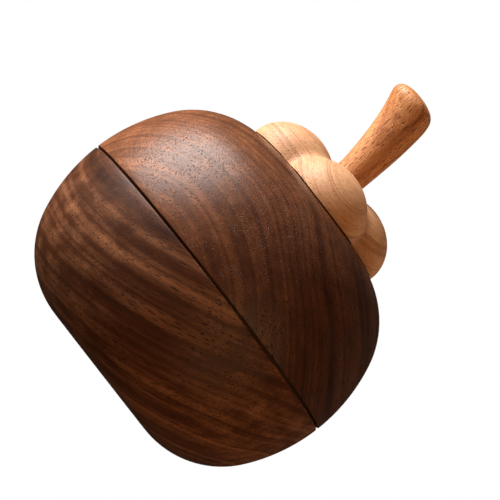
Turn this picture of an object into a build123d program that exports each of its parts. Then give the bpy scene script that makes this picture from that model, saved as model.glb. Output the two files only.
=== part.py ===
from build123d import *
from math import atan2, cos, pi, radians, sin, sqrt
import os

os.makedirs("parts", exist_ok=True)

# Everything is in millimetres. The object stands on z = 0, with its axis on +Z.

# body: two turned halves that mirror each other about the seam
body_radius = 45.0
body_height = 68.2
corner_radius = 24.6
side_radius = 47.0
wall = 9.0
seam_gap = 0.5
rim_chamfer = 0.55
seam_z = body_height / 2

# screwed joint between the halves
lid_lead = 6.0
lid_crest_radius = 35.9
lid_thread_depth = 1.2
lid_flat = 1.5
spigot_length = 12.0
spigot_inner_radius = 32.5
bowl_ring_radius = 38.0
lid_ring_radius = 37.5
lid_ring_depth = 9.5

# press screw
spindle_lead = 4.2
spindle_radius = 9.5
spindle_thread_depth = 1.6
spindle_flat = 0.6
thread_clearance = 0.35
spindle_foot_z = 30.2

# bushing in the crown
bushing_flange_radius = 18.2
bushing_flange_height = 3.5
bushing_radius = 13.0
bushing_screw_circle = 15.6
bushing_screw_count = 3

# press pad and anvil, whose faces are dished and grooved to hold a nut
pad_radius = 17.0
pad_height = 5.0
pad_rounding = 1.5
pad_dish_depth = 2.2
pad_grooves = (8.5, 12.0)
pad_recess_radius = 5.2
pad_recess_depth = 3.0
pad_washer_radius = 7.0
pad_washer_height = 0.6
anvil_radius = 17.5
anvil_height = 5.0
anvil_rounding = 1.2
anvil_dish_depth = 2.6
anvil_grooves = (8.0, 11.5)
anvil_recess_radius = 4.2
anvil_recess_depth = 1.4
dish_radius = 42.0
groove_radius = 0.6
pivot_radius = 3.0
pivot_clearance = 0.1

# screws: head radius, shank radius, length, length of the point
anvil_screw_size = (3.6, 1.75, 10.0, 2.0)
bushing_screw_size = (2.2, 1.2, 10.0, 2.0)
pad_screw_size = (4.6, pivot_radius, 18.0, 2.5)
pad_screw_rise = 1.0
screw_tip_radius = 0.3
slot_width = 0.8
slot_depth = 0.8

# leather pieces
base_pad_radius = 15.5
base_pad_height = 1.4
washer_inner_radius = 11.0
washer_outer_radius = 16.0
washer_height = 1.2
gasket_inner_radius = 38.6
gasket_outer_radius = 43.2

# calyx: four lobes about the stem
lobe_count = 4
lobe_turn = 5.7
lobe_offset = 11.2
lobe_radius = 12.6
lobe_height = 11.2
calyx_gap = 0.3
calyx_core_radius = 9.0
calyx_core_height = 7.0
flange_radius = 12.5
flange_height = 2.5
dowel_radius = 1.5
dowel_circle = 9.8
dowel_length = 6.0
dowel_rise = 0.5

# stem: (height, sideways lean, diameter) at each section
stem_sections = [
    (74.5, 0.0, 8.0),
    (78.0, -0.1, 8.2),
    (82.0, -0.4, 8.55),
    (87.0, -1.0, 9.4),
    (92.0, -1.7, 10.4),
    (97.1, -2.7, 11.4),
    (101.6, -4.1, 12.8),
]
stem_top_z = 106.4
stem_dowel_radius = 2.5
stem_dowel_depth = 2.0
stem_dowel_length = 8.0

# how far a threaded form and the cones at its ends pass the faces and the root that they cut
thread_spare = 1.0
cone_spare = 0.5
spigot_lead_in = 0.4
spindle_lead_in = 0.3

upright = (Align.CENTER, Align.CENTER, Align.MIN)
hanging = (Align.CENTER, Align.CENTER, Align.MAX)
written = []


def save(name, *solids):
    """Writes one node from its separate solids."""
    export_step(solids[0] if len(solids) == 1 else Compound(children=list(solids)), f"parts/{name}.step")
    written.append(name)


def disc(radius, low, high):
    """A cylinder on the axis between two heights."""
    return Pos(0, 0, low) * Cylinder(radius, high - low, align=upright)


def turned(*curves):
    """A solid turned about the axis from a closed outline in the XZ plane."""
    return revolve(make_face(Curve() + list(curves)), Axis.Z)


def bowl_form(offset):
    """The body's lower half as a solid, drawn in from the outside by an offset, up to the seam plane."""
    side_centre = body_radius - side_radius
    rise = seam_z - corner_radius
    corner_centre = side_centre + sqrt((side_radius - corner_radius) ** 2 - rise**2)
    tilt = atan2(rise, corner_centre - side_centre)
    low, corner = offset, corner_radius - offset
    half_tilt = (pi / 2 + tilt) / 2

    def on_corner(angle):
        return (corner_centre + corner * cos(angle), corner_radius - corner * sin(angle))

    def on_side(angle):
        reach = side_radius - offset
        return (side_centre + reach * cos(angle), seam_z - reach * sin(angle))

    points = [(0, low), (corner_centre, low), on_corner(tilt), on_side(0), (0, seam_z)]
    flat = [(x, 0, z) for x, z in points]
    corner_mid = on_corner(half_tilt)
    side_mid = on_side(tilt / 2)
    return turned(
        Line(flat[0], flat[1]),
        ThreePointArc(flat[1], (corner_mid[0], 0, corner_mid[1]), flat[2]),
        ThreePointArc(flat[2], (side_mid[0], 0, side_mid[1]), flat[3]),
        Line(flat[3], flat[4]),
        Line(flat[4], flat[0]),
    )


def thread(crest, depth, flat, lead, low, high, grow=0.0):
    """A right-hand threaded rod between two heights. Its crest stands at angle 0 at z = 0."""
    major, minor = crest + grow, crest - depth + grow
    crest_angle = 180 * flat / lead
    root_angle = 180 - crest_angle
    steps = 8

    def at(radius, angle):
        return (radius * cos(radians(angle)), radius * sin(radians(angle)))

    def flank(side):
        return Spline(*[
            at(major - depth * n / steps, side * (crest_angle + (root_angle - crest_angle) * n / steps))
            for n in range(steps + 1)
        ])

    outline = Curve() + [
        ThreePointArc(at(major, -crest_angle), at(major, 0), at(major, crest_angle)),
        flank(1),
        ThreePointArc(at(minor, root_angle), at(minor, 180), at(minor, -root_angle)),
        flank(-1),
    ]
    rod = Solid.extrude_linear_with_rotation(
        make_face(outline).face(), (0, 0, 0), (0, 0, high - low), 360 * (high - low) / lead
    )
    return Pos(0, 0, low) * Rot(0, 0, 360 * low / lead) * rod


def lead_in(low, foot, full, high):
    """The form that a threaded end is turned to: a cone from its foot to past the crest, then a cylinder."""
    corners = [(0, low), (foot, low), (full, low + full - foot), (full, high), (0, high)]
    flat = [(x, 0, z) for x, z in corners]
    return turned(*[Line(start, end) for start, end in zip(flat, flat[1:] + flat[:1])])


def countersinks(root, depth, low, high):
    """The two cones that open a threaded hole at its ends, from past its root down to inside its crest."""
    wide, narrow = root + thread_spare, root - depth - cone_spare
    cone = Cone(wide, narrow, wide - narrow, align=upright)
    return [Pos(0, 0, low - cone_spare) * cone, Pos(0, 0, high + cone_spare) * Rot(180, 0, 0) * cone]


def screw_blank(head_radius, shank_radius, length, tip):
    """A countersunk screw that points up, before its slot is cut, with its head's face at z = 0."""
    head = head_radius - shank_radius
    screw = Cone(head_radius, shank_radius, head, align=upright)
    screw += Pos(0, 0, head) * Cylinder(shank_radius, length - head - tip, align=upright)
    return screw + Pos(0, 0, length - tip) * Cone(shank_radius, screw_tip_radius, tip, align=upright)


def wood_screw(blank):
    """The screw with a straight slot across its head."""
    return blank - Box(body_radius, slot_width, 2 * slot_depth)


def dished(plate, rim_z, side, depth, grooves):
    """A disc whose face, up (side 1) or down (side -1), is hollowed to a depth and ringed with grooves."""
    centre_z = rim_z + side * (dish_radius - depth)
    plate -= Pos(0, 0, centre_z) * Sphere(dish_radius)
    for groove in grooves:
        face_z = centre_z - side * sqrt(dish_radius**2 - groove**2)
        plate -= Pos(0, 0, face_z) * Torus(groove, groove_radius)
    return plate


# lower half
half = bowl_form(0.0)
hollow = bowl_form(wall)
bowl_rim_z = seam_z - seam_gap / 2
shell_rim_z = seam_z + seam_gap / 2
ring_low = bowl_rim_z - spigot_length

lower_bowl = half - disc(2 * body_radius, bowl_rim_z, body_height) - hollow
lower_bowl -= disc(bowl_ring_radius, ring_low, body_height)
lower_bowl -= disc(base_pad_radius, 0, base_pad_height)
rim = lower_bowl.edges().filter_by(GeomType.CIRCLE).sort_by(lambda e: (round(e.center().Z, 3), e.radius))[-1]
lower_bowl = chamfer(rim, rim_chamfer)

anvil_top = wall + anvil_height
anvil_screw_z = anvil_top - anvil_recess_depth
anvil_screw_place = Pos(0, 0, anvil_screw_z) * Rot(180, 0, 0)
anvil_screw_blank = screw_blank(*anvil_screw_size)
anvil_screw = anvil_screw_place * wood_screw(anvil_screw_blank)
lower_bowl -= anvil_screw_place * anvil_screw_blank

anvil_seat = disc(anvil_radius, wall, anvil_top)
anvil_seat = fillet(anvil_seat.edges().sort_by(Axis.Z)[-1], anvil_rounding)
anvil_seat = dished(anvil_seat, anvil_top, 1, anvil_dish_depth, anvil_grooves)
anvil_seat -= disc(anvil_recess_radius, anvil_screw_z, anvil_top)
anvil_seat -= anvil_screw_place * anvil_screw_blank

base_pad = disc(base_pad_radius, 0, base_pad_height)

bowl_thread_ring = disc(bowl_ring_radius, ring_low, bowl_rim_z)
for end in countersinks(lid_crest_radius + thread_clearance, lid_thread_depth, ring_low, bowl_rim_z):
    bowl_thread_ring -= end
bowl_thread_ring -= thread(
    lid_crest_radius, lid_thread_depth, lid_flat, lid_lead,
    ring_low - thread_spare, bowl_rim_z + thread_spare, thread_clearance,
)

# gasket on the spigot's shoulder
rim_gasket = disc(gasket_outer_radius, bowl_rim_z, shell_rim_z) - disc(gasket_inner_radius, 0, body_height)

# upper half
crown_z = body_height - wall
flange_low = crown_z - bushing_flange_height
upper_half = Pos(0, 0, body_height) * Rot(180, 0, 0) * half
upper_hollow = Pos(0, 0, body_height) * Rot(180, 0, 0) * hollow
lid_ring_top = shell_rim_z + lid_ring_depth
upper_shell = upper_half - disc(2 * body_radius, 0, shell_rim_z) - upper_hollow
upper_shell -= disc(lid_ring_radius, 0, lid_ring_top)
upper_shell -= disc(bushing_radius, seam_z, body_height)
rim = upper_shell.edges().filter_by(GeomType.CIRCLE).sort_by(lambda e: (-round(e.center().Z, 3), e.radius))[-1]
upper_shell = chamfer(rim, rim_chamfer / 2)

spigot_low = bowl_rim_z - spigot_length + thread_clearance
spigot_root = lid_crest_radius - lid_thread_depth
lid_thread_ring = thread(
    lid_crest_radius, lid_thread_depth, lid_flat, lid_lead,
    spigot_low - thread_spare, shell_rim_z + thread_spare,
)
lid_thread_ring &= lead_in(
    spigot_low, spigot_root - spigot_lead_in, lid_crest_radius + spigot_lead_in, shell_rim_z + cone_spare
)
lid_thread_ring += disc(lid_ring_radius, shell_rim_z, lid_ring_top)
lid_thread_ring -= disc(spigot_inner_radius, 0, body_height)

screw_places = [Rot(0, 0, 90 + 360 * n / bushing_screw_count) * Pos(bushing_screw_circle, 0, flange_low)
                for n in range(bushing_screw_count)]
bushing_screw_blank = screw_blank(*bushing_screw_size)
bushing_screws = [place * wood_screw(bushing_screw_blank) for place in screw_places]

thread_bushing = disc(bushing_radius, flange_low, body_height)
thread_bushing += disc(bushing_flange_radius, flange_low, crown_z)
for place in screw_places:
    thread_bushing -= place * bushing_screw_blank
    upper_shell -= place * bushing_screw_blank
for end in countersinks(spindle_radius + thread_clearance, spindle_thread_depth, flange_low, body_height):
    thread_bushing -= end
thread_bushing -= thread(
    spindle_radius, spindle_thread_depth, spindle_flat, spindle_lead,
    flange_low - thread_spare, body_height + thread_spare, thread_clearance,
)

washer_top = body_height + washer_height
thrust_washer = disc(washer_outer_radius, body_height, washer_top) - disc(washer_inner_radius, 0, washer_top)

# press screw and its pad
flange_z = washer_top + calyx_gap
flange_top = flange_z + flange_height
spindle_root = spindle_radius - spindle_thread_depth
screw_spindle = thread(
    spindle_radius, spindle_thread_depth, spindle_flat, spindle_lead,
    spindle_foot_z - thread_spare, flange_z + thread_spare,
)
screw_spindle &= lead_in(
    spindle_foot_z, spindle_root - spindle_lead_in, spindle_radius + spindle_lead_in, flange_z + cone_spare
)
screw_spindle += disc(flange_radius, flange_z, flange_top)

pad_top = spindle_foot_z - pad_washer_height
pad_low = pad_top - pad_height
pad_screw_z = pad_low + pad_screw_rise
pad_screw_blank = screw_blank(*pad_screw_size)
pad_screw = Pos(0, 0, pad_screw_z) * wood_screw(pad_screw_blank)
screw_spindle -= Pos(0, 0, pad_screw_z) * pad_screw_blank

pivot_hole = disc(pivot_radius + pivot_clearance, 0, body_height)
pad_washer = disc(pad_washer_radius, pad_top, spindle_foot_z) - pivot_hole

press_pad = disc(pad_radius, pad_low, pad_top)
press_pad = fillet(press_pad.edges().sort_by(Axis.Z)[-1], pad_rounding)
press_pad = dished(press_pad, pad_low, -1, pad_dish_depth, pad_grooves)
press_pad -= pivot_hole
press_pad -= disc(pad_recess_radius, 0, pad_low + pad_recess_depth)

# calyx knob
calyx_low = body_height + calyx_gap
lobe = scale(Sphere(1.0), by=(lobe_radius, lobe_radius, lobe_height))
calyx = disc(calyx_core_radius, calyx_low, calyx_low + calyx_core_height)
for n in range(lobe_count):
    calyx += Rot(0, 0, lobe_turn - 90 + 360 * n / lobe_count) * Pos(lobe_offset, 0, calyx_low) * lobe
calyx -= Pos(0, 0, body_height) * Rot(180, 0, 0) * bowl_form(-calyx_gap)
calyx -= disc(washer_outer_radius + calyx_gap, seam_z, flange_z)
calyx -= disc(flange_radius, seam_z, flange_top)

dowel_low = flange_z + dowel_rise
torque_dowels = [
    Rot(0, 0, 180 * n) * Pos(dowel_circle, 0, dowel_low) * Cylinder(dowel_radius, dowel_length, align=upright)
    for n in range(2)
]
for dowel in torque_dowels:
    calyx -= dowel
    screw_spindle -= dowel

# stem
stem = loft([Pos(lean, 0, height) * Circle(diameter / 2) for height, lean, diameter in stem_sections])
last_z, last_lean, last_diameter = stem_sections[-1]
cap = scale(Sphere(1.0), by=(last_diameter / 2, last_diameter / 2, stem_top_z - last_z))
cap -= Box(2 * last_diameter, 2 * last_diameter, 2 * last_diameter, align=hanging)
stem += Pos(last_lean, 0, last_z) * cap
stem_foot_z = stem_sections[0][0]
calyx -= stem
stem_dowel = disc(stem_dowel_radius, stem_foot_z - stem_dowel_depth, stem_foot_z + stem_dowel_length)
calyx -= stem_dowel
stem -= stem_dowel

save("lower_bowl", lower_bowl)
save("base_pad", base_pad)
save("anvil_seat", anvil_seat)
save("anvil_screw", anvil_screw)
save("bowl_thread_ring", bowl_thread_ring)
save("rim_gasket", rim_gasket)
save("upper_shell", upper_shell)
save("lid_thread_ring", lid_thread_ring)
save("thread_bushing", thread_bushing)
save("bushing_screws", *bushing_screws)
save("thrust_washer", thrust_washer)
save("press_pad", press_pad)
save("pad_washer", pad_washer)
save("screw_spindle", screw_spindle)
save("pad_screw", pad_screw)
save("calyx_knob", calyx)
save("torque_dowels", *torque_dowels)
save("stem_handle", stem)
save("stem_dowel", stem_dowel)
print(len(written), "nodes written")
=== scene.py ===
import math
import random

import bmesh
import bpy
from mathutils import Matrix, Vector


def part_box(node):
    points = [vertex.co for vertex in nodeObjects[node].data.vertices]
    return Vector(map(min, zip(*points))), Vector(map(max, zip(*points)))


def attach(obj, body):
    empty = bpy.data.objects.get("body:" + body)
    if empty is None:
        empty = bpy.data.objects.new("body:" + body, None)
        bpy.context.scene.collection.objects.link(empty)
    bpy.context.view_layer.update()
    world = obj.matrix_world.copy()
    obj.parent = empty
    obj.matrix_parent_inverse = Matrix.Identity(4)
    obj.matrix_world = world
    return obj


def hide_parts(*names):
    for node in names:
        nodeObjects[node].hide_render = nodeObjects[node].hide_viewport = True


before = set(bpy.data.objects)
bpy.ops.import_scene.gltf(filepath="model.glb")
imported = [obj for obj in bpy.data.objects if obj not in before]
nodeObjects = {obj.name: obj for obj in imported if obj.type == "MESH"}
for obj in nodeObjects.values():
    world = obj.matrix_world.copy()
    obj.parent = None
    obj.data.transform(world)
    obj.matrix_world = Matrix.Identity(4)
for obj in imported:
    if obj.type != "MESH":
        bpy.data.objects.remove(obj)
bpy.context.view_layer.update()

scene = bpy.context.scene


class Tap:
    # a node's socket as a value: a sum on it adds a Math node
    def __init__(self, tree, socket=None):
        self.tree = tree
        self.socket = socket

    def make(self, kind, settings=None, sockets=None, out=0):
        # a new node: settings first, then a value or a link for each socket
        node = self.tree.nodes.new("ShaderNode" + kind)
        for name, value in (settings or {}).items():
            if name == "stops":
                fillRamp(node.color_ramp, value)
            else:
                setattr(node, name, value)
        for name, value in (sockets or {}).items():
            if isinstance(value, Tap):
                self.tree.links.new(value.socket, node.inputs[name])
            else:
                node.inputs[name].default_value = value
        return Tap(self.tree, node.outputs[out]) if len(node.outputs) else node

    def other(self, out):
        # another output of the same node
        return Tap(self.tree, self.socket.node.outputs[out])

    def sum(self, operation, first, second):
        return self.make("Math", {"operation": operation}, {0: first, 1: second})

    def __add__(self, other):
        return self.sum("ADD", self, other)

    def __radd__(self, other):
        return self.sum("ADD", other, self)

    def __sub__(self, other):
        return self.sum("SUBTRACT", self, other)

    def __rsub__(self, other):
        return self.sum("SUBTRACT", other, self)

    def __mul__(self, other):
        return self.sum("MULTIPLY", self, other)

    def __rmul__(self, other):
        return self.sum("MULTIPLY", other, self)

    def __truediv__(self, other):
        return self.sum("DIVIDE", self, other)

    def __rtruediv__(self, other):
        return self.sum("DIVIDE", other, self)

    def __pow__(self, other):
        return self.sum("POWER", self, other)

    def __rpow__(self, other):
        return self.sum("POWER", other, self)


def fillRamp(ramp, stops):
    while len(ramp.elements) < len(stops):
        ramp.elements.new(0.5)
    for element, (place, colour) in zip(ramp.elements, stops):
        element.position = place
        element.color = (*colour, 1.0)


def newMaterial(name):
    material = bpy.data.materials.new(name)
    material.use_nodes = True
    tree = material.node_tree
    tree.nodes.clear()
    return material, Tap(tree).make("TexCoord", out="Object")


def finishMaterial(coords, shaderSockets):
    shader = coords.make("BsdfPrincipled", None, shaderSockets)
    coords.make("OutputMaterial", None, {"Surface": shader})


def grainSpace(coords, fibre, pith):
    # millimetres, with z along the fibres and the pith on the z axis
    turn = Vector(fibre).normalized().rotation_difference(Vector((0, 0, 1)))
    return coords.make("Mapping", {"vector_type": "POINT"}, {
        "Vector": coords,
        "Location": -(turn.to_matrix() @ Vector(pith)),
        "Rotation": turn.to_euler(),
        "Scale": (1000, 1000, 1000),
    })


def stretched(space, across, along):
    # cells of the given size across and along the z axis
    size = (1 / across, 1 / across, 1 / along)
    return space.make("VectorMath", {"operation": "MULTIPLY"}, {0: space, 1: size})


def cloud(space, across, along, detail, roughness=0.5):
    return space.make("TexNoise", {"noise_dimensions": "3D"}, {
        "Vector": stretched(space, across, along),
        "Scale": 1.0,
        "Detail": detail,
        "Roughness": roughness,
    })


def ringDistance(space, wobble, wobbleSize):
    # how far the pith is, bent by a slow noise
    x = space.make("SeparateXYZ", None, {0: space})
    y = x.other(1)
    drift = (cloud(space, wobbleSize, wobbleSize * 3, 1.0) - 0.5) * (2 * wobble)
    return (x * x + y * y) ** 0.5 + drift


def ringBands(distance, width, detail):
    return distance.make("TexNoise", {"noise_dimensions": "1D"}, {
        "W": distance / width,
        "Scale": 1.0,
        "Detail": detail,
        "Roughness": 0.6,
    })


def fade(tap, low, high, start=0.0, end=1.0):
    # a soft step from start to end between two values of the tap
    return tap.make("MapRange", {"interpolation_type": "SMOOTHSTEP"}, {
        "Value": tap,
        "From Min": low,
        "From Max": high,
        "To Min": start,
        "To Max": end,
    })


def pores(space, across, along, small, large):
    # 1 inside an open pore, 0 outside
    distance = space.make("TexVoronoi", {"feature": "F1", "voronoi_dimensions": "3D"}, {
        "Vector": stretched(space, across, along),
        "Scale": 1.0,
        "Randomness": 1.0,
    })
    return fade(distance, small, large, 1.0, 0.0)


def blendColour(factor, first, second):
    return factor.make("Mix", {"data_type": "RGBA"}, {0: factor, 6: first, 7: second}, 2)


def stain(colour, mask, spread, ink):
    # the ink comes in where the mask is high: from, to, strength
    low, high, strength = spread
    return blendColour(fade(mask, low, high) * strength, colour, ink)


def rampColour(shade, stops):
    return shade.make("ValToRGB", {"stops": stops}, {0: shade})


def bumpFrom(height, strength, distance):
    sockets = {"Height": height, "Strength": strength, "Distance": distance}
    return height.make("Bump", None, sockets)


# In the woods, lengths are millimetres. Noise: across, along, detail, roughness.
# Pores: across, along, core, edge. Stains: from, to, strength. Bump: strength, depth in metres.

shellWood = {
    "fibre": (-0.5, -0.77, 0.4),
    "pith": (-15.0, -38.0, 0.0),
    "bandWidth": 7.0,
    "bandPhase": 13.7,
    "lineWidth": 1.5,
    "mix": (0.34, 0.32, 0.30),  # bands, lines, figure
    "paintedLightSlope": (-0.130, 0.0, 0.010),  # painted light: how much paler the wood is painted towards the lit -x side and the top, on each axis
    "stops": [
        (0.31, (0.026, 0.0092, 0.0052)),
        (0.45, (0.072, 0.0255, 0.0122)),
        (0.57, (0.135, 0.0490, 0.0215)),
        (0.67, (0.250, 0.0940, 0.0400)),
        (0.81, (0.350, 0.1430, 0.0660)),
    ],
    "roughness": 0.22,
    "shine": 0.25,
    "bump": (0.6, 0.00035),
}
bowlWood = {
    "fibre": (0.91, -0.18, 0.37),
    "pith": (44.0, 12.0, -96.0),
    "bandWidth": 6.0,
    "bandPhase": 5.2,
    "lineWidth": 1.4,
    "mix": (0.34, 0.24, 0.38),
    # painted shade and light: darker towards the rim and the lit -x side, paler towards the
    # bottom and +x
    "paintedLightSlope": (0.015, 0.0, -0.060),
    "stops": [
        (0.30, (0.028, 0.0092, 0.0040)),
        (0.43, (0.075, 0.0250, 0.0100)),
        (0.51, (0.150, 0.0600, 0.0280)),
        (0.61, (0.275, 0.1160, 0.0520)),
        (0.73, (0.235, 0.0960, 0.0420)),
    ],
    "roughness": 0.34,
    "shine": 0.18,
    "bump": (0.30, 0.00035),
}
walnutGrain = {
    "wobble": (6.0, 45.0),
    "bandDetail": 2.0,
    "lineDetail": 3.0,
    "figure": (4.0, 40.0, 4.0, 0.6),
    "fibres": (0.35, 7.0, 3.0, 0.7),
    "fine": (0.5, 2.5, 2.0, 0.65),
    "lineStain": (0.56, 0.72, 0.30),
    "fibreStain": (0.44, 0.74, 0.55),
    "fineStain": (0.46, 0.80, 0.35),
    "shortPores": (0.50, 5.0, 0.16, 0.30),
    "shortPlaces": (0.40, 0.58),  # of the figure
    "longPores": (0.95, 11.0, 0.11, 0.19),
    "longPlaces": (0.34, 0.56),  # of the bands
    "poreStrength": 0.85,
    "dark": (0.016, 0.0065, 0.0038, 1.0),
    "poreColour": (0.008, 0.0035, 0.0022, 1.0),
}


def walnut(name, look):
    grain = walnutGrain
    material, coords = newMaterial(name)
    space = grainSpace(coords, look["fibre"], look["pith"])
    distance = ringDistance(space, *grain["wobble"])
    bands = ringBands(distance + look["bandPhase"], look["bandWidth"], grain["bandDetail"])
    lines = ringBands(distance, look["lineWidth"], grain["lineDetail"])
    figure = cloud(space, *grain["figure"])
    fibres = cloud(space, *grain["fibres"])
    fine = cloud(space, *grain["fine"])
    # painted light and shade: a straight colour slope across each half in object space, lighter
    # or darker along fixed axes to stand in for how the lamps fall
    side = Vector(look["paintedLightSlope"]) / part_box("lower_bowl")[1][0]
    paintedLight = coords.make("VectorMath", {"operation": "DOT_PRODUCT"}, {0: coords, 1: side}, 1)
    bandPart, linePart, figurePart = look["mix"]
    shade = bands * bandPart + lines * linePart + figure * figurePart + paintedLight
    colour = rampColour(shade, look["stops"])
    colour = stain(colour, lines, grain["lineStain"], grain["dark"])
    colour = stain(colour, fibres, grain["fibreStain"], grain["dark"])
    colour = stain(colour, fine, grain["fineStain"], grain["dark"])
    short = pores(space, *grain["shortPores"]) * fade(figure, *grain["shortPlaces"])
    long = pores(space, *grain["longPores"]) * fade(bands, *grain["longPlaces"])
    pore = short.sum("MAXIMUM", short, long)
    colour = blendColour(pore * grain["poreStrength"], colour, grain["poreColour"])
    height = fibres * 0.25 + fine * 0.12 - pore
    finishMaterial(coords, {
        "Base Color": colour,
        "Roughness": fibres * 0.20 + pore * 0.35 + look["roughness"],
        "Normal": bumpFrom(height, *look["bump"]),
        "IOR": 1.45,
        "Specular IOR Level": look["shine"],
    })
    return material


beechLook = {
    "wobble": (2.2, 26.0),
    "figure": (5.0, 30.0, 3.0),
    "fine": (0.35, 3.0, 2.0, 0.65),
    "stops": [
        (0.30, (0.37, 0.175, 0.075)),
        (0.44, (0.49, 0.255, 0.128)),
        (0.58, (0.55, 0.305, 0.165)),
        (0.72, (0.42, 0.210, 0.095)),
    ],
    "lineRise": (0.56, 0.66),
    "lineFall": (0.66, 0.76),
    "lineStrength": 0.62,
    "flecks": (0.8, 2.6, 0.12, 0.24),
    "fleckStrength": 0.45,
    "fineStain": (0.45, 0.80, 0.5),
    "dark": (0.23, 0.085, 0.030, 1.0),
    "roughness": 0.45,
    "shine": 0.3,
    "bump": (0.6, 0.0002),
}


def beech(name, fibre, pith, ringWidth):
    look = beechLook
    material, coords = newMaterial(name)
    space = grainSpace(coords, fibre, pith)
    rings = ringBands(ringDistance(space, *look["wobble"]), ringWidth, 1.0)
    figure = cloud(space, *look["figure"])
    fine = cloud(space, *look["fine"])
    colour = rampColour(rings * 0.5 + figure * 0.5, look["stops"])
    line = fade(rings, *look["lineRise"]) * (1 - fade(rings, *look["lineFall"]))
    colour = blendColour(line * look["lineStrength"], colour, look["dark"])
    fleck = pores(space, *look["flecks"])
    colour = blendColour(fleck * look["fleckStrength"], colour, look["dark"])
    colour = stain(colour, fine, look["fineStain"], look["dark"])
    height = fine * 0.45 - fleck * 0.7
    finishMaterial(coords, {
        "Base Color": colour,
        "Roughness": fine * 0.15 + look["roughness"],
        "Normal": bumpFrom(height, *look["bump"]),
        "Specular IOR Level": look["shine"],
    })
    return material


cherryLook = {
    "fibre": (-0.16, 0.0, 1.0),
    "pith": (18.0, 14.0, 0.0),
    "wobble": (1.2, 20.0),
    "bandWidth": 1.6,
    "figure": (2.5, 30.0, 3.0),
    "fine": (0.25, 6.0, 2.0, 0.6),
    "lumps": (1.6, 5.0, 2.0, 0.6),
    "stops": [
        (0.30, (0.27, 0.090, 0.027)),
        (0.46, (0.43, 0.170, 0.058)),
        (0.58, (0.56, 0.250, 0.095)),
        (0.74, (0.38, 0.140, 0.045)),
    ],
    "shortPores": (0.55, 2.4, 0.16, 0.32),
    "shortPlaces": (0.36, 0.56),  # of the figure
    "longPores": (0.80, 5.5, 0.14, 0.26),
    "longPlaces": (0.40, 0.60),  # of the lumps
    "poreStrength": 0.60,
    "fineStain": (0.45, 0.78, 0.5),
    "poreColour": (0.10, 0.028, 0.010, 1.0),
    "roughness": 0.42,
    "shine": 0.35,
    "bump": (0.7, 0.0004),
}


def cherry(name):
    look = cherryLook
    material, coords = newMaterial(name)
    space = grainSpace(coords, look["fibre"], look["pith"])
    bands = ringBands(ringDistance(space, *look["wobble"]), look["bandWidth"], 2.0)
    figure = cloud(space, *look["figure"])
    fine = cloud(space, *look["fine"])
    lumps = cloud(space, *look["lumps"])
    colour = rampColour(bands * 0.5 + figure * 0.5, look["stops"])
    short = pores(space, *look["shortPores"]) * fade(figure, *look["shortPlaces"])
    long = pores(space, *look["longPores"]) * fade(lumps, *look["longPlaces"])
    pore = short.sum("MAXIMUM", short, long)
    colour = blendColour(pore * look["poreStrength"], colour, look["poreColour"])
    colour = stain(colour, fine, look["fineStain"], look["poreColour"])
    height = fine * 0.4 + lumps * 0.8 - pore
    finishMaterial(coords, {
        "Base Color": colour,
        "Roughness": fine * 0.15 + pore * 0.2 + look["roughness"],
        "Normal": bumpFrom(height, *look["bump"]),
        "Specular IOR Level": look["shine"],
    })
    return material


brassLook = {
    "dull": (2.5, 2.5, 3.0, 0.6),
    "lathe": (6.0, 0.12, 1.0),  # fine lines round the z axis
    "stops": [(0.35, (0.45, 0.27, 0.09)), (0.7, (0.72, 0.49, 0.20))],
    "roughness": 0.18,
    "bump": (0.25, 0.00005),
}


def turnedBrass(name):
    look = brassLook
    material, coords = newMaterial(name)
    space = stretched(coords, 0.001, 0.001)  # to millimetres
    dull = cloud(space, *look["dull"])
    lathe = cloud(space, *look["lathe"])
    finishMaterial(coords, {
        "Base Color": rampColour(dull, look["stops"]),
        "Metallic": 1.0,
        "Roughness": dull * 0.25 + look["roughness"],
        "Normal": bumpFrom(lathe, *look["bump"]),
    })
    return material


leatherLook = {
    "tone": (7.0, 7.0, 3.0),
    "stops": [(0.3, (0.018, 0.009, 0.005)), (0.7, (0.050, 0.024, 0.013))],
    "grainScale": 1.1,
    "creaseWidth": 0.22,
    "roughness": 0.72,
    "bump": (0.5, 0.0002),
}


def waxedLeather(name):
    look = leatherLook
    material, coords = newMaterial(name)
    space = stretched(coords, 0.001, 0.001)
    grain = space.make("TexVoronoi", {"feature": "DISTANCE_TO_EDGE"}, {
        "Vector": space,
        "Scale": look["grainScale"],
        "Randomness": 1.0,
    })
    crease = fade(grain, 0.0, look["creaseWidth"])
    finishMaterial(coords, {
        "Base Color": rampColour(cloud(space, *look["tone"]), look["stops"]),
        "Roughness": look["roughness"] - crease * 0.14,
        "Normal": bumpFrom(crease, *look["bump"]),
    })
    return material


def dress(names, material):
    for name in names:
        slots = nodeObjects[name].data.materials
        slots.clear()
        slots.append(material)


def addPiece(name, bm, bodyName, material, replaced, sharp=None):
    bmesh.ops.recalc_face_normals(bm, faces=bm.faces)
    mesh = bpy.data.meshes.new(name)
    bm.to_mesh(mesh)
    bm.free()
    for face in mesh.polygons:
        face.use_smooth = True
    if sharp:
        mesh.set_sharp_from_angle(angle=math.radians(sharp))
    mesh.materials.append(material)
    piece = bpy.data.objects.new(name, mesh)
    scene.collection.objects.link(piece)
    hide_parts(replaced)
    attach(piece, bodyName)
    return piece


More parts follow.
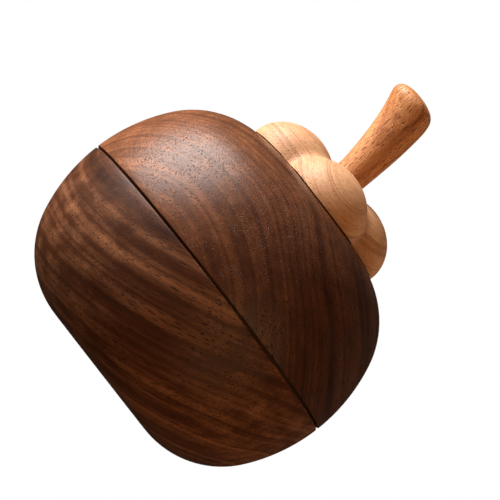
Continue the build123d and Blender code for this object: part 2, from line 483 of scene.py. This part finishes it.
class Outline:
    # an outline in the XZ plane, in millimetres, to be spun about the z axis
    def __init__(self, x, z):
        self.bm = bmesh.new()
        self.last = self.bm.verts.new((x / 1000, 0, z / 1000))

    def line(self, x, z):
        grown = bmesh.ops.extrude_vert_indiv(self.bm, verts=[self.last])["verts"]
        self.last = grown[0]
        self.last.co = (x / 1000, 0, z / 1000)
        return self

    def arc(self, x, z, degrees, steps):
        turned = bmesh.ops.spin(
            self.bm, geom=[self.last], cent=(x / 1000, 0, z / 1000), axis=(0, -1, 0),
            angle=math.radians(degrees), steps=steps,
        )
        self.last = turned["geom_last"][0]
        return self

    def spun(self, steps):
        bmesh.ops.spin(
            self.bm, geom=self.bm.verts[:] + self.bm.edges[:], cent=(0, 0, 0), axis=(0, 0, 1),
            angle=2 * math.pi, steps=steps, use_merge=True,
        )
        bmesh.ops.remove_doubles(self.bm, verts=self.bm.verts, dist=1e-6)
        return self.bm


# millimetres; each half is two arcs, a corner at the end and a side up to the seam
body = {
    "cornerRadius": 24.6,
    "sideRadius": 47.0,
    "wall": 9.0,
    "rimRound": 0.45,
    "shellRimRound": 0.3,
    "padRadius": 15.5,
    "padDepth": 1.4,
    "bowlMouth": 38.0,
    "shellMouth": 37.5,
    "crownHole": 13.0,
    "outerSteps": (18, 14),  # corner, side
    "rimSteps": 4,
    "innerSteps": (12, 10),
    "around": 192,
    "sharp": 40,  # edges over this angle stay crisp
}


def bodyCurve(offset):
    # where the two arcs have their middles, drawn in from the outside by an offset
    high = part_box("lower_bowl")[1]
    seam = (high[2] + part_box("upper_shell")[0][2]) * 500
    sideMiddle = round(high[0] * 1000, 1) - body["sideRadius"]
    rise = seam - body["cornerRadius"]
    run = math.sqrt((body["sideRadius"] - body["cornerRadius"]) ** 2 - rise ** 2)
    return {
        "seam": seam,
        "side": sideMiddle,
        "corner": sideMiddle + run,
        "tilt": math.degrees(math.atan2(rise, run)),  # the side's turn from seam to corner
        "sideReach": body["sideRadius"] - offset,
    }


def sideAngle(curve, height):
    # how far below the seam a height lies on the side's arc, in degrees
    return math.degrees(math.asin((curve["seam"] - height) / curve["sideReach"]))


def halfOutline(rim, edge, mouth, mouthDepth, footRadius, footDepth):
    # from the axis round the outside, over the rim and down the inside
    outer, inner = bodyCurve(0.0), bodyCurve(body["wall"])
    corner = body["cornerRadius"]
    top = sideAngle(outer, rim - edge)
    rimX = outer["side"] + outer["sideReach"] * math.cos(math.radians(top))
    path = Outline(0, footDepth)
    path.line(footRadius, footDepth).line(footRadius, 0).line(outer["corner"], 0)
    path.arc(outer["corner"], corner, 90 - outer["tilt"], body["outerSteps"][0])
    path.arc(outer["side"], outer["seam"], outer["tilt"] - top, body["outerSteps"][1])
    path.arc(rimX - edge, rim - edge, 90, body["rimSteps"])
    step = rim - mouthDepth
    path.line(mouth, rim).line(mouth, step)
    innerTop = sideAngle(inner, step)
    innerX = inner["side"] + inner["sideReach"] * math.cos(math.radians(innerTop))
    path.line(innerX, step)
    path.arc(inner["side"], inner["seam"], innerTop - inner["tilt"], body["innerSteps"][1])
    path.arc(inner["corner"], corner, inner["tilt"] - 90, body["innerSteps"][0])
    return path


def buildBowl(material):
    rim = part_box("lower_bowl")[1][2] * 1000
    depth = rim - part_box("bowl_thread_ring")[0][2] * 1000
    path = halfOutline(
        rim, body["rimRound"], body["bowlMouth"], depth, body["padRadius"], body["padDepth"]
    )
    path.line(0, body["wall"])
    bm = path.spun(body["around"])
    return addPiece(
        "walnut_bowl", bm, "bowl", material, "lower_bowl", sharp=body["sharp"]
    )


def buildShell(material):
    # drawn upside down, as the bowl is, then turned over
    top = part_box("upper_shell")[1][2] * 1000
    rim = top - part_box("upper_shell")[0][2] * 1000
    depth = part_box("lid_thread_ring")[1][2] * 1000 - (top - rim)
    hole, wall = body["crownHole"], body["wall"]
    path = halfOutline(rim, body["shellRimRound"], body["shellMouth"], depth, hole, wall)
    path.line(hole, wall)
    # the crown is open, so the point on the axis goes
    middle = [vert for vert in path.bm.verts if vert.co.x < 1e-6]
    bmesh.ops.delete(path.bm, geom=middle, context="VERTS")
    bm = turnedOver(path.spun(body["around"]), top / 2000)
    return addPiece(
        "walnut_shell", bm, "shell", material, "upper_shell", sharp=body["sharp"]
    )


def turnedOver(bm, height):
    turn = Matrix.Rotation(math.pi, 3, "X")
    bmesh.ops.rotate(bm, verts=bm.verts, cent=(0, 0, height), matrix=turn)
    return bm


# metres and degrees, but for the gap, which is in millimetres
calyx = {
    "lobes": 4,
    "turn": 5.7,
    "offset": 0.0112,
    "radius": 0.0129,
    "height": 0.0112,
    "uneven": 0.02,
    "lobeSegments": (64, 32),
    "coreRadius": 0.008,
    "coreFlatness": 0.85,
    "coreSegments": (48, 24),
    "voxel": 0.0005,
    "softening": 36,
    "gap": 0.3,  # above the crown
    "crownSteps": (24, 8),  # corner, side
    "sharp": 35,
    "seed": 4,
}


def addBall(bm, segments, radius, matrix):
    across, up = segments
    bmesh.ops.create_uvsphere(bm, u_segments=across, v_segments=up, radius=radius, matrix=matrix)


def buildCalyx(material):
    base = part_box("upper_shell")[1][2] + calyx["gap"] / 1000
    dice = random.Random(calyx["seed"])
    bm = bmesh.new()
    for n in range(calyx["lobes"]):
        angle = math.radians(calyx["turn"] - 90 + 360 * n / calyx["lobes"])
        turn = Matrix.Rotation(angle, 4, "Z")
        size = calyx["radius"] * (1 + dice.uniform(-calyx["uneven"], calyx["uneven"]))
        shape = Matrix.Diagonal((size, size, calyx["height"], 1))
        place = Matrix.Translation((calyx["offset"], 0, base))
        addBall(bm, calyx["lobeSegments"], 1.0, turn @ place @ shape)
    shape = Matrix.Diagonal((1, 1, calyx["coreFlatness"], 1))
    place = Matrix.Translation((0, 0, base))
    addBall(bm, calyx["coreSegments"], calyx["coreRadius"], place @ shape)
    bm = remeshed(bm, calyx["voxel"])
    for _ in range(calyx["softening"]):
        bmesh.ops.smooth_vert(
            bm, verts=bm.verts, factor=0.5, use_axis_x=True, use_axis_y=True, use_axis_z=True
        )
    bm = carved(bm, crownForm(calyx["gap"]))
    bm = carved(bm, washerRecess())
    return addPiece(
        "calyx_lobes", bm, "spindle", material, "calyx_knob", sharp=calyx["sharp"]
    )


def crownForm(grown):
    # the shell's outside down to the seam, a little larger
    curve = bodyCurve(-grown)
    cornerSteps, sideSteps = calyx["crownSteps"]
    path = Outline(0, -grown)
    path.line(curve["corner"], -grown)
    path.arc(curve["corner"], body["cornerRadius"], 90 - curve["tilt"], cornerSteps)
    path.arc(curve["side"], curve["seam"], curve["tilt"], sideSteps)
    path.line(0, curve["seam"])
    return turnedOver(path.spun(body["around"] // 2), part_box("upper_shell")[1][2] / 2)


def washerRecess():
    low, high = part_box("thrust_washer")
    bm = bmesh.new()
    depth = 2 * (high[2] - low[2] + calyx["gap"] / 1000)
    radius = high[0] + calyx["gap"] / 1000
    bmesh.ops.create_cone(
        bm, cap_ends=True, segments=64, radius1=radius, radius2=radius, depth=depth
    )
    bmesh.ops.translate(bm, verts=bm.verts, vec=(0, 0, low[2]))
    return bm


def asObject(name, bm):
    mesh = bpy.data.meshes.new(name)
    bm.to_mesh(mesh)
    bm.free()
    thing = bpy.data.objects.new(name, mesh)
    scene.collection.objects.link(thing)
    return thing


def applied(thing, *others):
    # the object with its modifiers applied, as a bmesh; the objects themselves go
    graph = bpy.context.evaluated_depsgraph_get()
    result = bpy.data.meshes.new_from_object(thing.evaluated_get(graph))
    bm = bmesh.new()
    bm.from_mesh(result)
    bpy.data.meshes.remove(result)
    for old in (thing, *others):
        mesh = old.data
        bpy.data.objects.remove(old)
        bpy.data.meshes.remove(mesh)
    return bm


def carved(bm, tool):
    # the bmesh with the tool cut away
    for form in (bm, tool):
        bmesh.ops.recalc_face_normals(form, faces=form.faces)
    thing, cutter = asObject("carving", bm), asObject("cutter", tool)
    cut = thing.modifiers.new("cut", "BOOLEAN")
    cut.operation = "DIFFERENCE"
    cut.solver = "EXACT"
    cut.object = cutter
    return applied(thing, cutter)


def remeshed(bm, voxel):
    # one skin round everything in the bmesh
    thing = asObject("skinned", bm)
    skin = thing.modifiers.new("skin", "REMESH")
    skin.mode = "VOXEL"
    skin.voxel_size = voxel
    return applied(thing)


# millimetres; a ring is its height, the sideways place of its middle and its diameter
stem = {
    "sides": 40,
    "rings": [
        (74.6, 0.1, 8.2), (78.0, 0.1, 8.7), (82.0, -0.15, 9.1), (87.0, -0.75, 9.95),
        (92.0, -1.45, 10.95), (97.1, -2.5, 12.05), (100.9, -3.6, 13.3), (103.0, -4.35, 13.8),
        (104.4, -4.55, 12.9), (105.3, -4.6, 11.2), (105.9, -4.6, 8.6), (106.3, -4.6, 5.0),
    ],
    "top": 106.4,
    "smoothing": 2,
}


def nextRing(bm, edges):
    grown = bmesh.ops.extrude_edge_only(bm, edges=edges)["geom"]
    verts = [part for part in grown if isinstance(part, bmesh.types.BMVert)]
    return verts, [part for part in grown if isinstance(part, bmesh.types.BMEdge)]


def buildStem(material):
    bm = bmesh.new()
    height, lean, width = stem["rings"][0]
    ring = bmesh.ops.create_circle(
        bm, cap_ends=False, segments=stem["sides"], radius=width / 2000
    )["verts"]
    bmesh.ops.translate(bm, verts=ring, vec=(lean / 1000, 0, height / 1000))
    edges = bm.edges[:]
    bmesh.ops.edgeloop_fill(bm, edges=edges)
    for old, new in zip(stem["rings"], stem["rings"][1:]):
        ring, edges = nextRing(bm, edges)
        height, lean, width = new
        middle = Matrix.Translation((-old[1] / 1000, 0, -old[0] / 1000))
        grow = width / old[2]
        bmesh.ops.scale(bm, verts=ring, vec=(grow, grow, 1), space=middle)
        step = ((lean - old[1]) / 1000, 0, (height - old[0]) / 1000)
        bmesh.ops.translate(bm, verts=ring, vec=step)
    ring, edges = nextRing(bm, edges)
    bmesh.ops.pointmerge(bm, verts=ring, merge_co=(lean / 1000, 0, stem["top"] / 1000))
    piece = addPiece("stem_branch", bm, "spindle", material, "stem_handle")
    smooth = piece.modifiers.new("smooth", "SUBSURF")
    smooth.levels = smooth.render_levels = stem["smoothing"]
    return piece


stage = {
    "floorSize": 6.0,
    "floorStops": [(0.3, (0.80, 0.79, 0.77)), (0.7, (0.84, 0.83, 0.81))],
    "floorGlow": 0.55,
    "cameraDistance": 0.75,
    "cameraHeight": -0.002,
    "aim": (-0.0009, 0.0, 0.0486),
    "roll": 52.1,
    "view": 9.58,
    "lightAim": (0.0, 0.0, 0.045),
    # the way each light lies, its distance, size, power, colour, and if it makes highlights
    "lights": {
        "keyLight": ((-0.93, -0.06, 0.50), 0.8, 0.7, 22.0, (1.0, 0.955, 0.92), True),
        "rimLight": ((-1.0, 0.45, -0.05), 0.8, 0.6, 5.0, (1.0, 0.78, 0.58), False),
        "backLight": ((0.90, 0.80, 0.50), 1.2, 1.0, 7.0, (1.0, 0.78, 0.58), False),
        "fillLight": ((0.75, -1.0, -0.25), 1.2, 1.3, 8.0, (1.0, 0.56, 0.27), True),
    },
    "ambient": (0.050, 0.036, 0.026, 1.0),
}


def addFloor():
    # pale, seen from above only, and it neither shades nor tints the object
    bm = bmesh.new()
    bmesh.ops.create_grid(bm, x_segments=1, y_segments=1, size=stage["floorSize"] / 2)
    floor = asObject("floor", bm)
    floor.visible_diffuse = False
    floor.visible_glossy = False
    floor.visible_shadow = False
    material, coords = newMaterial("paleFloor")
    tone = coords.make("TexNoise", None, {"Vector": coords, "Scale": 6.0, "Detail": 3.0})
    colour = rampColour(tone, stage["floorStops"])
    paint = coords.make("BsdfPrincipled", None, {
        "Base Color": colour,
        "Roughness": 0.7,
        "Emission Color": colour,
        "Emission Strength": stage["floorGlow"],
    })
    clear = coords.make("BsdfTransparent")
    back = coords.make("NewGeometry", out="Backfacing")
    both = coords.make("MixShader", None, {0: back, 1: paint, 2: clear})
    coords.make("OutputMaterial", None, {"Surface": both})
    floor.data.materials.append(material)


def addLight(name, towards, distance, size, power, colour, highlights):
    data = bpy.data.lights.new(name, "AREA")
    data.shape = "DISK"
    data.size = size
    data.energy = power
    data.color = colour
    lamp = bpy.data.objects.new(name, data)
    towards = Vector(towards).normalized()
    lamp.location = Vector(stage["lightAim"]) + towards * distance
    lamp.rotation_euler = towards.to_track_quat("Z", "Y").to_euler()
    lamp.visible_glossy = highlights
    scene.collection.objects.link(lamp)


def addWorld():
    # white to the camera, dim and warm to the object
    world = bpy.data.worlds.new("studio")
    world.use_nodes = True
    scene.world = world
    tree = world.node_tree
    tree.nodes.clear()
    seen = Tap(tree).make("LightPath", out="Is Camera Ray")
    white = seen.make("Background", None, {"Color": (1, 1, 1, 1), "Strength": 1.0})
    dim = seen.make("Background", None, {"Color": stage["ambient"], "Strength": 1.0})
    both = seen.make("MixShader", None, {0: seen, 1: dim, 2: white})
    seen.make("OutputWorld", None, {"Surface": both})


def addCamera():
    data = bpy.data.cameras.new("camera")
    data.sensor_width = 36.0
    data.lens = data.sensor_width / 2 / math.tan(math.radians(stage["view"] / 2))
    data.clip_start = 0.05
    camera = bpy.data.objects.new("camera", data)
    aim = Vector(stage["aim"])
    camera.location = (aim.x, -stage["cameraDistance"], stage["cameraHeight"])
    look = (aim - camera.location).to_track_quat("-Z", "Y").to_matrix()
    roll = Matrix.Rotation(math.radians(stage["roll"]), 3, "Z")
    camera.rotation_euler = (look @ roll).to_euler()
    scene.collection.objects.link(camera)
    scene.camera = camera


addCamera()
addWorld()
addFloor()
for name, spec in stage["lights"].items():
    addLight(name, *spec)
scene.view_settings.view_transform = "Standard"
print("stage ready")

buildShell(walnut("shellWalnut", shellWood))
buildBowl(walnut("bowlWalnut", bowlWood))
print("walnut halves ready")

turnedBeech = beech(
    "turnedBeech", fibre=(0.0, 0.05, 1.0), pith=(60.0, 10.0, 0.0), ringWidth=2.6
)
padBeech = beech("padBeech", fibre=(1.0, 0.1, 0.0), pith=(0.0, 70.0, -10.0), ringWidth=2.6)
dress(["bowl_thread_ring", "lid_thread_ring", "thread_bushing", "screw_spindle"], turnedBeech)
dress(["torque_dowels", "stem_dowel"], turnedBeech)
dress(["press_pad", "anvil_seat"], padBeech)
dress(["anvil_screw", "bushing_screws", "pad_washer", "pad_screw"], turnedBrass("screwBrass"))
dress(["base_pad", "rim_gasket", "thrust_washer"], waxedLeather("darkLeather"))
print("inside and leather dressed")

calyxBeech = beech(
    "calyxBeech", fibre=(0.93, 0.30, 0.10), pith=(6.0, 4.0, 30.0), ringWidth=1.3
)
buildCalyx(calyxBeech)
buildStem(cherry("stemCherry"))
print("knob and stem ready")
